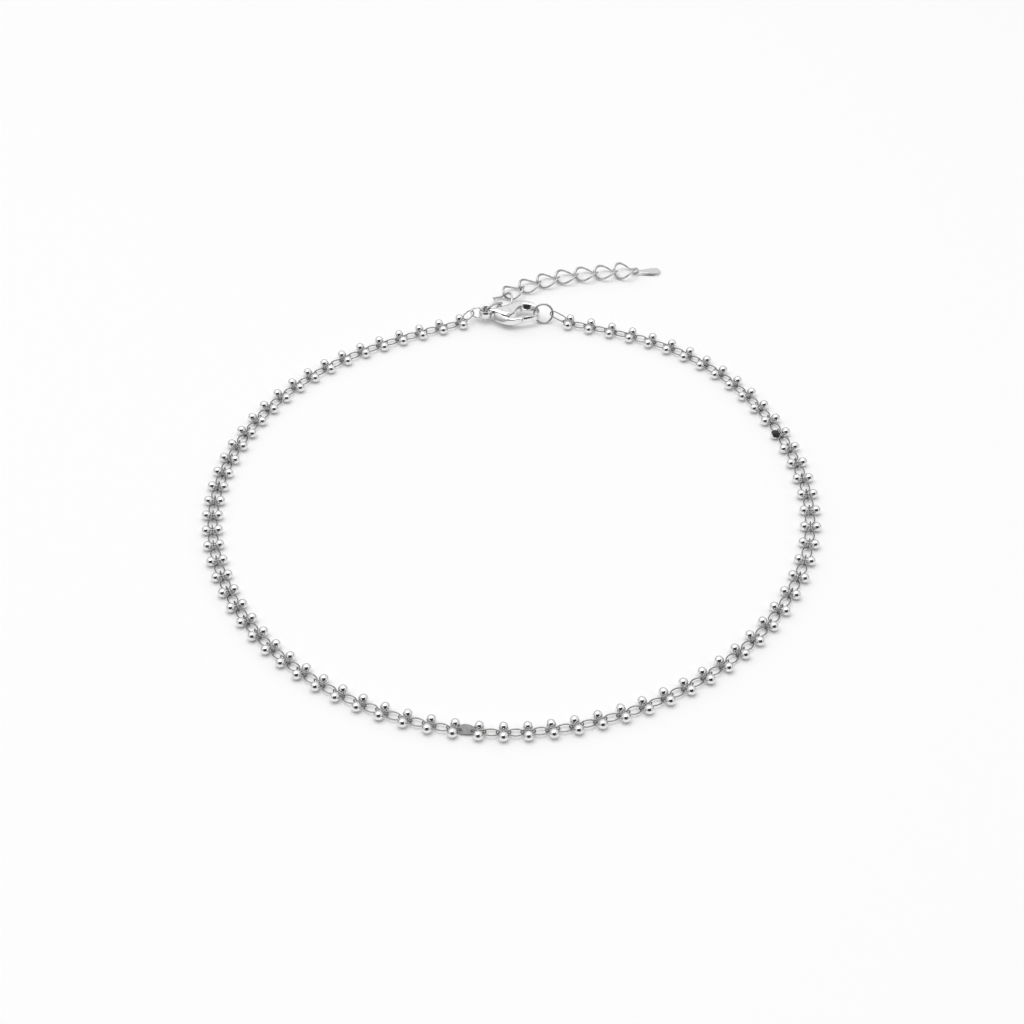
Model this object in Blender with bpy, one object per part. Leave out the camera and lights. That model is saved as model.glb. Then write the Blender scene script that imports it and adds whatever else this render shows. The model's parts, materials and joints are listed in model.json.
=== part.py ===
# Choker necklace, lying on a surface: a fine chain with a pair of balls on every second link, a lobster clasp,
# and a short extender chain with a flat tag. Metres, +Z up, the surface at z = 0.
import math

import bpy
import bmesh
import numpy as np
from mathutils import Matrix, Vector

MM = 0.001

# The loop's route from above: the number of the ball pair, and where it lies from the loop's middle, in mm
LOOP_ROUTE = (
    # pair, x, y
    (0, -10.2, 57.0),
    (5, -29.6, 47.6),
    (10, -44.7, 33.2),
    (15, -53.3, 14.3),
    (20, -54.8, -6.0),
    (25, -48.7, -26.1),
    (30, -36.2, -42.5),
    (34, -22.0, -52.0),
    (39, -1.4, -56.8),
    (43, 14.9, -54.0),
    (48, 33.4, -43.5),
    (52, 45.0, -30.7),
    (57, 54.0, -9.6),
    (62, 53.7, 13.1),
    (67, 45.7, 33.7),
    (72, 31.3, 48.8),
    (77, 11.5, 56.9),
)
# The extender's route from above, from the clasp's eye to its last link, in mm from the loop's middle
EXTENDER_ROUTE = (
    # x, y
    (-5.1, 59.1),
    (-2.5, 61.9),
    (-1.6, 65.6),
    (5.2, 70.2),
    (13.4, 72.9),
    (21.4, 74.0),
)

# Chain
BALL_DIAMETER = 1.8 * MM
BALL_GAP = 0.49 * MM
BALL_SIDES = 10
BALL_PROFILE = (
    # share of the radius from the ball's upright axis, share of the radius above its centre
    (0.0, 1.0),
    (1.0, 0.5),
    (1.0, -0.5),
    (0.0, -1.0),
)
CHAIN_THICKNESS = 0.9 * MM
CHAIN_WIRE = 0.24 * MM
CHAIN_LINK_WIDTH = 1.95 * MM
LINK_REACH = 0.9 * MM
CHAIN_LAP = 0.15 * MM
PLATE_PAIR = 37
PLATE_LENGTH = 3.2 * MM
PLATE_WIDTH = 2.4 * MM
PLATE_THICKNESS = 0.35 * MM
PLATE_OUTLINE = (
    # shares of half the length along the chain and of half the width towards the loop, corner or not
    (-0.84, 0.06, False),
    (-0.56, 0.76, False),
    (-0.06, 1.0, False),
    (0.4, 0.82, False),
    (0.8, 0.36, False),
    (0.98, -0.06, True),
    (0.62, -0.8, False),
    (0.16, -0.96, False),
    (-0.34, -0.96, False),
    (-0.6, -0.84, False),
)

# Clasp, in a frame of its own: u runs to the hook's end, v away from the gate's side
CLASP_PLACE = Vector((0.0, 58.85 * MM, 1.8 * MM))
CLASP_LENGTH = 12.0 * MM
CLASP_WIDTH = 7.0 * MM
CLASP_THICKNESS = 1.7 * MM
CLASP_ROUNDING = 0.3 * MM
EYE_PLACE = Vector((-0.442 * CLASP_LENGTH, 0.0, 0.0))
EYE_DIAMETER = 2.95 * MM
EYE_HOLE = 1.55 * MM
EYE_THICKNESS = 1.4 * MM
PIVOT_PLACE = Vector((-0.058 * CLASP_LENGTH, -0.207 * CLASP_WIDTH, 0.0))
BODY_OUTLINE = (
    # shares of the clasp's length and width, corner or not
    (-0.383, 0.071, False),
    (-0.208, 0.207, False),
    (0.025, 0.4, False),
    (0.208, 0.471, False),
    (0.392, 0.321, False),
    (0.483, 0.014, False),
    (0.446, -0.214, False),
    (0.333, -0.35, False),
    (0.179, -0.414, True),
    (0.229, -0.25, True),
    (0.367, -0.221, False),
    (0.433, -0.086, False),
    (0.413, 0.114, False),
    (0.317, 0.25, False),
    (0.2, 0.271, False),
    (0.1, 0.179, False),
    (0.05, 0.014, False),
    (0.029, -0.164, False),
    (-0.004, -0.3, False),
    (-0.067, -0.329, False),
    (-0.158, -0.25, False),
    (-0.267, -0.121, False),
    (-0.383, -0.071, False),
)
LEVER_OUTLINE = (
    # shares of the clasp's length and width, corner or not
    (0.212, -0.257, True),
    (0.163, -0.414, True),
    (0.092, -0.443, False),
    (0, -0.493, False),
    (-0.117, -0.429, False),
    (-0.233, -0.286, False),
    (-0.312, -0.164, True),
    (-0.225, -0.214, False),
    (-0.146, -0.314, False),
    (-0.058, -0.371, False),
    (0.025, -0.343, False),
    (0.1, -0.279, False),
)
LEVER_THICKNESS = 1.4 * MM
LEVER_ROUNDING = 0.2 * MM
ROOT_THICKNESS = 0.7 * MM
ROOT_RADIUS = 1.3 * MM
SLOT_CLEARANCE = 0.15 * MM
PIN_DIAMETER = 0.6 * MM
PIN_CLEARANCE = 0.08 * MM

# Rings
CLASP_RING_DIAMETER = 2.9 * MM
CLASP_RING_WIRE = 0.42 * MM
JUMP_RING_PLACE = Vector((6.35 * MM, 58.5 * MM, 0.0))
JUMP_RING_DIAMETER = 4.2 * MM
JUMP_RING_WIRE = 0.45 * MM
JUMP_RING_LEAN = math.radians(60.0)
RING_CLEARANCE = 0.12 * MM

# Extender
EXTENDER_LINKS = 8
EXTENDER_WIRE = 0.45 * MM
EXTENDER_WIDTH = 4.2 * MM
FIRST_LINK_WIDTH = 3.2 * MM
EXTENDER_TWIST = math.radians(90.0)
EXTENDER_HEIGHT = 1.05 * MM
LAST_RING_DIAMETER = 4.8 * MM
LAST_RING_RISE = 0.1 * MM
TAG_LENGTH = 4.5 * MM
TAG_WIDTH = 2.3 * MM
TAG_NECK = 1.1 * MM
TAG_THICKNESS = 0.5 * MM
TAG_EYE_DIAMETER = 2.0 * MM
TAG_EYE_WIRE = 0.4 * MM

# How finely curves are drawn
ROUTE_STEPS = 400
OVAL_FULLNESS = 0.9
HEADING_STEP = 0.05
SMOOTH_ANGLE = math.radians(40.0)

# Finishes: colour, roughness
SILVER = ((0.86, 0.86, 0.87, 1.0), 0.12)
DULL_SILVER = ((0.62, 0.62, 0.63, 1.0), 0.3)
PLATE_GREY = ((0.33, 0.33, 0.33, 1.0), 0.45)


def clear_scene():
    for item in list(bpy.data.objects):
        bpy.data.objects.remove(item)


def new_collection(name):
    collection = bpy.data.collections.new(name)
    bpy.context.scene.collection.children.link(collection)
    return collection


def metal(name, finish):
    colour, roughness = finish
    material = bpy.data.materials.new(name)
    material.use_nodes = True
    shader = material.node_tree.nodes["Principled BSDF"]
    shader.inputs["Base Color"].default_value = colour
    shader.inputs["Metallic"].default_value = 1.0
    shader.inputs["Roughness"].default_value = roughness
    return material


def add_object(name, data, collection, matrix=None):
    item = bpy.data.objects.new(name, data)
    collection.objects.link(item)
    if matrix is not None:
        item.matrix_world = matrix
    return item


def finish_piece(item, material, root):
    item.data.materials.clear()
    item.data.materials.append(material)
    item.data.shade_smooth()
    item.data.set_sharp_from_angle(angle=SMOOTH_ANGLE)
    item.parent = root


# A curve's object becomes a welded mesh object that Booleans can use
def curve_to_mesh(curve_object, collection):
    evaluated = curve_object.evaluated_get(bpy.context.evaluated_depsgraph_get())
    mesh = bpy.data.meshes.new_from_object(evaluated)
    weld = bmesh.new()
    weld.from_mesh(mesh)
    bmesh.ops.remove_doubles(weld, verts=weld.verts, dist=0.001 * MM)
    bmesh.ops.recalc_face_normals(weld, faces=weld.faces)
    weld.to_mesh(mesh)
    weld.free()
    name = curve_object.name
    matrix = curve_object.matrix_world.copy()
    bpy.data.objects.remove(curve_object)
    mesh.name = name
    return add_object(name, mesh, collection, matrix)


def tube(name, points, diameter, collection, cyclic=False, resolution=2):
    curve = bpy.data.curves.new(name, "CURVE")
    curve.dimensions = "3D"
    curve.bevel_depth = diameter / 2
    curve.bevel_resolution = resolution
    curve.use_fill_caps = not cyclic
    spline = curve.splines.new("POLY")
    spline.points.add(len(points) - 1)
    for knot, point in zip(spline.points, points):
        knot.co = (*point, 1.0)
    spline.use_cyclic_u = cyclic
    item = add_object(name, curve, collection)
    bpy.context.view_layer.update()
    return curve_to_mesh(item, collection)


# A flat outline with smooth and cornered points, given its thickness and rounded edges
def flat_outline(name, outline, thickness, rounding, collection, matrix):
    curve = bpy.data.curves.new(name, "CURVE")
    curve.dimensions = "2D"
    curve.fill_mode = "BOTH"
    curve.extrude = thickness / 2 - rounding
    curve.bevel_depth = rounding
    curve.bevel_resolution = 1
    curve.offset = -rounding
    curve.resolution_u = 2
    spline = curve.splines.new("BEZIER")
    spline.bezier_points.add(len(outline) - 1)
    spline.use_cyclic_u = True
    for knot, (u, v, corner) in zip(spline.bezier_points, outline):
        knot.co = (u, v, 0.0)
        knot.handle_left_type = "VECTOR" if corner else "AUTO"
        knot.handle_right_type = "VECTOR" if corner else "AUTO"
    item = add_object(name, curve, collection, matrix)
    bpy.context.view_layer.update()
    return curve_to_mesh(item, collection)


def scaled_outline(outline, across, along):
    return [(u * across, v * along, corner) for u, v, corner in outline]


def cylinder(name, radius, height, collection, matrix, sides=16):
    mesh = bpy.data.meshes.new(name)
    shape = bmesh.new()
    bmesh.ops.create_cone(
        shape, cap_ends=True, segments=sides, radius1=radius, radius2=radius, depth=height
    )
    shape.to_mesh(mesh)
    shape.free()
    return add_object(name, mesh, collection, matrix)


# A wire ring whose own plane is XY before its matrix is applied
def wire_ring(name, diameter, wire, collection, matrix, steps=16, resolution=1):
    radius = (diameter - wire) / 2
    angles = [2 * math.pi * step / steps for step in range(steps)]
    points = [(radius * math.cos(angle), radius * math.sin(angle), 0.0) for angle in angles]
    item = tube(name, points, wire, collection, cyclic=True, resolution=resolution)
    item.data.transform(matrix)
    return item


def boolean(item, other, operation):
    modifier = item.modifiers.new(other.name, "BOOLEAN")
    modifier.operation = operation
    modifier.solver = "EXACT"
    modifier.object = other
    other.hide_render = True
    other.display_type = "WIRE"


# A natural cubic curve through numbered points; returns a function of the number
def smooth_route(numbers, points):
    numbers = np.array(numbers, float)
    points = np.array(points, float)
    steps = np.diff(numbers)
    count = len(numbers)
    system = np.eye(count)
    right = np.zeros_like(points)
    for row in range(1, count - 1):
        before, after = steps[row - 1], steps[row]
        system[row, row - 1:row + 2] = before, 2 * (before + after), after
        slope_after = (points[row + 1] - points[row]) / after
        slope_before = (points[row] - points[row - 1]) / before
        right[row] = 6 * (slope_after - slope_before)
    bends = np.linalg.solve(system, right)

    def at(number):
        row = int(np.clip(np.searchsorted(numbers, number, side="right") - 1, 0, count - 2))
        step = steps[row]
        a = (numbers[row + 1] - number) / step
        b = 1 - a
        cubic = ((a**3 - a) * bends[row] + (b**3 - b) * bends[row + 1]) * step**2 / 6
        return a * points[row] + b * points[row + 1] + cubic

    return at


# The place and heading of each ball pair
def chain_pairs():
    route = smooth_route([row[0] for row in LOOP_ROUTE], [row[1:] for row in LOOP_ROUTE])
    count = LOOP_ROUTE[-1][0] + 1
    pairs = []
    for number in range(count):
        x, y = route(number) * MM
        low = max(number - HEADING_STEP, 0)
        high = min(number + HEADING_STEP, count - 1)
        heading = Vector((*(route(high) - route(low)), 0.0)).normalized()
        pairs.append((Vector((x, y, BALL_DIAMETER / 2)), heading))
    return pairs


def lathe_ball(shape, centre, turn):
    radius = BALL_DIAMETER / 2
    rings = []
    for out, up in BALL_PROFILE:
        height = centre.z + up * radius
        if out == 0.0:
            rings.append([shape.verts.new((centre.x, centre.y, height))])
            continue
        ring = []
        for side in range(BALL_SIDES):
            angle = turn + 2 * math.pi * side / BALL_SIDES
            x = centre.x + out * radius * math.cos(angle)
            y = centre.y + out * radius * math.sin(angle)
            ring.append(shape.verts.new((x, y, height)))
        rings.append(ring)
    for upper, lower in zip(rings, rings[1:]):
        for side in range(BALL_SIDES):
            after = (side + 1) % BALL_SIDES
            corners = [upper[side % len(upper)], lower[side % len(lower)]]
            corners += [lower[after % len(lower)], upper[after % len(upper)]]
            shape.faces.new(list(dict.fromkeys(corners)))


def ball_pairs(name, pairs, collection):
    shape = bmesh.new()
    spread = (BALL_DIAMETER + BALL_GAP) / 2
    for place, heading in pairs:
        across = Vector((-heading.y, heading.x, 0.0))
        turn = math.atan2(across.y, across.x)
        for side in (-1, 1):
            lathe_ball(shape, place + across * side * spread, turn)
    bmesh.ops.recalc_face_normals(shape, faces=shape.faces)
    mesh = bpy.data.meshes.new(name)
    shape.to_mesh(mesh)
    shape.free()
    return add_object(name, mesh, collection)


# An oval wire link between two hooked points: its wire centres lie `reach` beyond each of them.
# The roll turns its flat side about its length, from level, at its start and at its end.
def oval_points(start, end, reach, width, wire, roll_start, roll_end, steps=14):
    run = (end - start).normalized()
    level = Vector((-run.y, run.x, 0.0)).normalized()
    upright = run.cross(level)
    half_length = (end - start).length / 2 + reach
    half_width = (width - wire) / 2
    middle = (start + end) / 2
    points = []
    for step in range(steps):
        angle = 2 * math.pi * (step + 0.5) / steps
        along = half_length * math.cos(angle)
        out = half_width * math.copysign(abs(math.sin(angle)) ** OVAL_FULLNESS, math.sin(angle))
        share = (along / half_length + 1) / 2
        roll = roll_start + (roll_end - roll_start) * share
        side = level * math.cos(roll) + upright * math.sin(roll)
        points.append(middle + run * along + side * out)
    return points


# The roll at which a link's flat faces look along the given direction
def roll_facing(start, end, normal):
    run = (end - start).normalized()
    level = Vector((-run.y, run.x, 0.0)).normalized()
    upright = run.cross(level)
    return math.atan2(-normal.dot(level), normal.dot(upright))


# One half of the chain: its cord of links, its ball pairs, and the end link that its ring holds
def chain_half(name, pairs, outer, hook, hook_wire, hook_axis, collection, helpers):
    last = pairs[outer][0]
    aim = (hook - last).normalized()
    near = last + aim * LINK_REACH
    points = [place for place, _ in pairs]
    front = len(pairs) - 1 if outer == 0 else 0
    inner = -1 if outer == 0 else 1
    points[front] = points[front] - pairs[front][1] * inner * CHAIN_LAP
    if outer == 0:
        points.insert(0, near)
    else:
        points.append(near)
    cord = tube(name, points, CHAIN_THICKNESS, collection)
    balls = ball_pairs(name + "_balls", pairs, helpers)
    reach = hook_wire / 2 + RING_CLEARANCE + CHAIN_WIRE / 2
    far = hook + aim * reach
    roll = roll_facing(near, far, hook_axis)
    oval = oval_points(near, far, 0.0, CHAIN_LINK_WIDTH, CHAIN_WIRE, roll, roll)
    end_link = tube(name + "_end_link", oval, CHAIN_WIRE, helpers, cyclic=True, resolution=1)
    boolean(cord, balls, "UNION")
    boolean(cord, end_link, "UNION")
    return cord


def plate_link(pairs, collection):
    before, after = pairs[PLATE_PAIR], pairs[PLATE_PAIR + 1]
    middle = (before[0] + after[0]) / 2
    run = (after[0] - before[0]).normalized()
    across = Vector((-run.y, run.x, 0.0))
    matrix = Matrix((run, across, (0.0, 0.0, 1.0))).transposed().to_4x4()
    matrix.translation = middle
    outline = scaled_outline(PLATE_OUTLINE, PLATE_LENGTH / 2, PLATE_WIDTH / 2)
    rounding = PLATE_THICKNESS / 4
    return flat_outline("plate_link", outline, PLATE_THICKNESS, rounding, collection, matrix)


def clasp_body(collection, helpers):
    place = Matrix.Translation(CLASP_PLACE)
    outline = scaled_outline(BODY_OUTLINE, CLASP_LENGTH, CLASP_WIDTH)
    body = flat_outline("clasp_body", outline, CLASP_THICKNESS, CLASP_ROUNDING, collection, place)
    eye_width = (EYE_DIAMETER - EYE_HOLE) / 2
    eye_matrix = Matrix.Translation(CLASP_PLACE + EYE_PLACE)
    stretch = Matrix.Diagonal((1.0, 1.0, EYE_THICKNESS / eye_width, 1.0))
    eye = wire_ring("eye", EYE_DIAMETER, eye_width, helpers, eye_matrix @ stretch)
    boolean(body, eye, "UNION")
    hole = cylinder("eye_hole", EYE_HOLE / 2, 2 * CLASP_THICKNESS, helpers, eye_matrix)
    boolean(body, hole, "DIFFERENCE")
    pivot = Matrix.Translation(CLASP_PLACE + PIVOT_PLACE)
    slot_height = ROOT_THICKNESS + 2 * SLOT_CLEARANCE
    slot_radius = ROOT_RADIUS + SLOT_CLEARANCE
    slot = cylinder("lever_slot", slot_radius, slot_height, helpers, pivot)
    boolean(body, slot, "DIFFERENCE")
    pin_radius = PIN_DIAMETER / 2 + PIN_CLEARANCE
    pin_hole = cylinder("pin_hole", pin_radius, 2 * CLASP_THICKNESS, helpers, pivot)
    boolean(body, pin_hole, "DIFFERENCE")
    return body


# The lever's object stands on its pin's axis
def clasp_lever(collection, helpers):
    pivot = CLASP_PLACE + PIVOT_PLACE
    outline = scaled_outline(LEVER_OUTLINE, CLASP_LENGTH, CLASP_WIDTH)
    outline = [(u - PIVOT_PLACE.x, v - PIVOT_PLACE.y, corner) for u, v, corner in outline]
    matrix = Matrix.Translation(pivot)
    lever = flat_outline("clasp_lever", outline, LEVER_THICKNESS, LEVER_ROUNDING, collection, matrix)
    root = cylinder("lever_root", ROOT_RADIUS, ROOT_THICKNESS, helpers, matrix)
    boolean(lever, root, "UNION")
    bore = cylinder("lever_bore", PIN_DIAMETER / 2 + PIN_CLEARANCE, 2 * LEVER_THICKNESS, helpers, matrix)
    boolean(lever, bore, "DIFFERENCE")
    return lever


def clasp_pin(collection):
    matrix = Matrix.Translation(CLASP_PLACE + PIVOT_PLACE)
    return cylinder("clasp_pin", PIN_DIAMETER / 2, CLASP_THICKNESS, collection, matrix, sides=12)


# The upright ring through the clasp's eye, and the point of its wire that the chain's end link hooks
def clasp_ring_place():
    wire_to_wall = CLASP_RING_WIRE / 2 + RING_CLEARANCE
    hole_edge = CLASP_PLACE.x + EYE_PLACE.x - EYE_HOLE / 2
    radius = (CLASP_RING_DIAMETER - CLASP_RING_WIRE) / 2
    centre = Vector((hole_edge + wire_to_wall - radius, CLASP_PLACE.y + EYE_PLACE.y, CLASP_PLACE.z))
    hook = centre - Vector((radius, 0.0, 0.0))
    return centre, hook


# The leaning ring through the claw, and the point of its wire that the chain's end link hooks
def jump_ring_place():
    radius = (JUMP_RING_DIAMETER - JUMP_RING_WIRE) / 2
    height = radius * math.sin(JUMP_RING_LEAN) + JUMP_RING_WIRE / 2
    centre = JUMP_RING_PLACE + Vector((0.0, 0.0, height))
    hook = centre + Vector((radius, 0.0, 0.0))
    lean = Vector((0.0, math.cos(JUMP_RING_LEAN), math.sin(JUMP_RING_LEAN)))
    return centre, hook, lean


# Equally spaced hooking points along the extender
def extender_joints():
    route = smooth_route(range(len(EXTENDER_ROUTE)), EXTENDER_ROUTE)
    last = len(EXTENDER_ROUTE) - 1
    samples = [route(last * step / ROUTE_STEPS) * MM for step in range(ROUTE_STEPS + 1)]
    lengths = np.hypot(*np.diff(samples, axis=0).T)
    travelled = np.concatenate(([0.0], np.cumsum(lengths)))
    joints = []
    for number in range(EXTENDER_LINKS + 1):
        distance = travelled[-1] * number / EXTENDER_LINKS
        x = np.interp(distance, travelled, [sample[0] for sample in samples])
        y = np.interp(distance, travelled, [sample[1] for sample in samples])
        joints.append(Vector((x, y, EXTENDER_HEIGHT)))
    joints[0].z = CLASP_PLACE.z
    joints[1].z = (CLASP_PLACE.z + EXTENDER_HEIGHT) / 2
    return joints


def extender_links(joints, collection):
    reach = EXTENDER_WIRE / 2 + RING_CLEARANCE / 2
    half_twist = EXTENDER_TWIST / 2
    links = []
    for number in range(EXTENDER_LINKS):
        roll_start = half_twist if number else EXTENDER_TWIST
        roll_end = -half_twist if number else EXTENDER_TWIST + half_twist
        width = EXTENDER_WIDTH if number else FIRST_LINK_WIDTH
        start, end = joints[number], joints[number + 1]
        points = oval_points(start, end, reach, width, EXTENDER_WIRE, roll_start, roll_end)
        name = "extender_link_%d" % (number + 1)
        links.append(tube(name, points, EXTENDER_WIRE, collection, cyclic=True, resolution=1))
    return links


# The rounder last ring is twisted like the links; the tag's eye hangs on its far side
def extender_ring(joints, collection):
    reach = EXTENDER_WIRE / 2 + RING_CLEARANCE / 2
    run = (joints[-1] - joints[-2]).normalized()
    run.z = 0.0
    start = joints[-1]
    end = start + run * (LAST_RING_DIAMETER - EXTENDER_WIRE - 2 * reach)
    end.z += LAST_RING_RISE
    half_twist = EXTENDER_TWIST / 2
    points = oval_points(
        start, end, reach, LAST_RING_DIAMETER, EXTENDER_WIRE, half_twist, -half_twist
    )
    ring = tube("extender_ring", points, EXTENDER_WIRE, collection, cyclic=True, resolution=1)
    return ring, end + run * reach, run


def end_tag(hook, run, collection, helpers):
    eye_radius = (TAG_EYE_DIAMETER - TAG_EYE_WIRE) / 2
    eye_centre = hook + run * (eye_radius - (EXTENDER_WIRE + TAG_EYE_WIRE) / 2 - 2 * RING_CLEARANCE)
    across = Vector((-run.y, run.x, 0.0))
    frame = Matrix((run, across, (0.0, 0.0, 1.0))).transposed().to_4x4()
    start = eye_radius
    half_neck = TAG_NECK / 2
    half_width = TAG_WIDTH / 2
    end = start + TAG_LENGTH
    outline = (
        (start - TAG_EYE_WIRE, half_neck, True),
        (start - TAG_EYE_WIRE, -half_neck, True),
        (end - half_width, -half_width, False),
        (end, 0.0, False),
        (end - half_width, half_width, False),
    )
    frame.translation = Vector((eye_centre.x, eye_centre.y, TAG_THICKNESS / 2))
    tag = flat_outline("end_tag", outline, TAG_THICKNESS, TAG_THICKNESS / 5, collection, frame)
    upright = Matrix((run, (0.0, 0.0, 1.0), -across)).transposed().to_4x4()
    upright.translation = Vector((eye_centre.x, eye_centre.y, TAG_EYE_DIAMETER / 2))
    eye = wire_ring("tag_eye", TAG_EYE_DIAMETER, TAG_EYE_WIRE, helpers, upright, steps=14)
    boolean(tag, eye, "UNION")
    return tag


def build():
    clear_scene()
    parts = new_collection("choker_necklace")
    helpers = new_collection("helpers")
    root = bpy.data.objects.new("necklace_root", None)
    parts.objects.link(root)
    silver = metal("bright_silver", SILVER)
    dull = metal("dull_silver", DULL_SILVER)
    grey = metal("plate_grey", PLATE_GREY)

    pairs = chain_pairs()
    ring_centre, ring_hook = clasp_ring_place()
    jump_centre, jump_hook, jump_lean = jump_ring_place()
    left = pairs[:PLATE_PAIR + 1]
    right = pairs[PLATE_PAIR + 1:]
    upright = Vector((0.0, 0.0, 1.0))
    chain_left = chain_half(
        "beaded_chain_left", left, 0, ring_hook, CLASP_RING_WIRE, upright, parts, helpers
    )
    chain_right = chain_half(
        "beaded_chain_right", right, -1, jump_hook, JUMP_RING_WIRE, jump_lean, parts, helpers
    )
    ring_matrix = Matrix.Translation(ring_centre) @ Matrix.Rotation(math.pi / 2, 4, "X")
    clasp_ring = wire_ring("clasp_ring", CLASP_RING_DIAMETER, CLASP_RING_WIRE, parts, ring_matrix)
    jump_matrix = Matrix.Translation(jump_centre) @ Matrix.Rotation(JUMP_RING_LEAN, 4, "X")
    jump_ring = wire_ring("jump_ring", JUMP_RING_DIAMETER, JUMP_RING_WIRE, parts, jump_matrix)
    joints = extender_joints()
    links = extender_links(joints, parts)
    last_ring, tag_hook, run = extender_ring(joints, parts)
    tag = end_tag(tag_hook, run, parts, helpers)

    bright = [chain_left, chain_right, clasp_ring, jump_ring, last_ring, tag]
    bright += [clasp_body(parts, helpers), clasp_lever(parts, helpers)]
    for item in bright + links:
        finish_piece(item, silver, root)
    finish_piece(clasp_pin(parts), dull, root)
    finish_piece(plate_link(pairs, parts), grey, root)
    for helper in helpers.objects:
        helper.hide_render = True
        helper.display_type = "WIRE"
        helper.parent = root

    # The whole stands on the surface with its box's middle over the origin
    bpy.context.view_layer.update()
    low, high = world_box(parts)
    root.location = (-(low.x + high.x) / 2, -(low.y + high.y) / 2, -low.z)
    bpy.context.view_layer.update()


def world_box(collection):
    graph = bpy.context.evaluated_depsgraph_get()
    corners = []
    for item in collection.objects:
        if item.type != "MESH":
            continue
        evaluated = item.evaluated_get(graph)
        mesh = evaluated.to_mesh()
        corners += [evaluated.matrix_world @ vertex.co for vertex in mesh.vertices]
        evaluated.to_mesh_clear()
    low = Vector([min(corner[axis] for corner in corners) for axis in range(3)])
    high = Vector([max(corner[axis] for corner in corners) for axis in range(3)])
    return low, high


build()
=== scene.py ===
# Choker necklace lying on a white surface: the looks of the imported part
import json
import math
import random

import bmesh
import bpy
import numpy as np
from mathutils import Matrix, Vector


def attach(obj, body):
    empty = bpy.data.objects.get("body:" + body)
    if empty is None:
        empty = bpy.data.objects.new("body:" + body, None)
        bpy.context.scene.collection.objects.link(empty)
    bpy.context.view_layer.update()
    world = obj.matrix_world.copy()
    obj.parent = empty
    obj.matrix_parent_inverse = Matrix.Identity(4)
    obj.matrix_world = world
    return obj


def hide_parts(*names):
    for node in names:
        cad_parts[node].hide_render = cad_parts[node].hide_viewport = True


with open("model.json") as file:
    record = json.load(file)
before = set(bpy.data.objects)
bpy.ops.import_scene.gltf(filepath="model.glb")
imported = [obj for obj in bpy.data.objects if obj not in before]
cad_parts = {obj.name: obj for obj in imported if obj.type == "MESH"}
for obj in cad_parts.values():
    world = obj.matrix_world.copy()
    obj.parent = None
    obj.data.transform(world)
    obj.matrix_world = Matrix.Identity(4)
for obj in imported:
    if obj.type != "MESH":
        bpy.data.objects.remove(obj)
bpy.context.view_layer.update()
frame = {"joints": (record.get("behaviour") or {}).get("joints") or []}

mm = 0.001
upward = Vector((0.0, 0.0, 1.0))

# Largest angles, in degrees, between faces that are still shaded as one surface
shading = {
    "built": 35,
    "ring": 40,
    "rounded": 50,
    "twisted": 60,
}

# Lobster clasp, in mm from its own middle: u runs to the hook's end, v away from the lever's side
clasp = {
    "middle": (0.0, 58.85, 1.8),
    "pin": (-0.7, -1.45),
    "pinWidth": 0.6,
    "pinHeight": 1.3,
    "pinBevel": 0.1,
    "pinBevelSteps": 3,
    "pinSides": 24,
    "boreWidth": 0.76,
    "thickness": 1.7,
    "hookThickness": 1.4,
    "edgeRadius": 0.26,
    # for each section how far its top edges round off, across and down, and how far its walls lean
    "outerDomes": [(0.5, 1.1)] * 16,
    "innerDomes": [(1.0, 1.45)] * 5 + [(0.3, 0.32)] * 5 + [(1.0, 1.45)] * 6,
    "leans": [0.0] * 4 + [-0.3, -0.8, -0.92, -0.9, -0.85, -0.5] + [0.0] * 6,
    "eye": (-5.3, 0.0),
    "eyeWidth": 2.95,
    "eyeHole": 1.55,
    "eyeHeight": 1.7,
    "slotWidth": 2.9,
    "slotHeight": 0.96,
    "slotSides": 48,
    "cutHeight": 5.1,
    "taperFrom": 4,
    "taperOver": 6,
    "crease": 0.6,
    "levels": 2,
    # one row for each section from the eye to the hook's tip: outer edge u, v and inner edge u, v
    "sections": [
        (-4.6, 0.55, -4.6, -0.5),
        (-3.6, 0.95, -3.4, -0.8),
        (-2.4, 1.5, -2.1, -1.6),
        (-1.1, 2.15, -0.75, -2.3),
        (0.2, 2.75, 0.3, -1.3),
        (1.1, 3.08, 0.95, 0.3),
        (2.1, 3.28, 1.6, 1.25),
        (3.1, 3.2, 2.4, 1.66),
        (4.1, 2.72, 3.6, 1.6),
        (4.95, 1.9, 4.35, 1.15),
        (5.55, 0.95, 5.0, 0.65),
        (5.82, 0.0, 5.25, -0.1),
        (5.65, -0.95, 5.15, -0.75),
        (5.1, -1.85, 4.75, -1.35),
        (4.1, -2.45, 3.9, -1.62),
        (2.2, -2.88, 2.78, -1.76),
    ],
}


# A place in mm from the loop's middle, as a point of the frame in metres
def inFrame(x, y, z):
    return loopMiddle + Vector((x, y, z)) * mm


leverPin = Vector(frame["joints"][0]["pos_m"])
pinInLoop = Vector(clasp["middle"]) + Vector((*clasp["pin"], 0.0))
loopMiddle = leverPin - pinInLoop * mm


# Small helpers for work in object and edit mode
def objectMode():
    if bpy.context.mode != "OBJECT":
        bpy.ops.object.mode_set(mode="OBJECT")


def pick(*pieces):
    objectMode()
    bpy.ops.object.select_all(action="DESELECT")
    for piece in pieces:
        piece.select_set(True)
    bpy.context.view_layer.objects.active = pieces[0]


# Goes to edit mode with only the wanted points selected
def editPoints(piece, wanted):
    pick(piece)
    bpy.ops.object.mode_set(mode="EDIT")
    bpy.ops.mesh.select_mode(type="VERT")
    bpy.ops.mesh.select_all(action="DESELECT")
    shape = bmesh.from_edit_mesh(piece.data)
    for point in shape.verts:
        point.select = wanted(point.co)
    shape.select_flush(True)
    bmesh.update_edit_mesh(piece.data)


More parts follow.
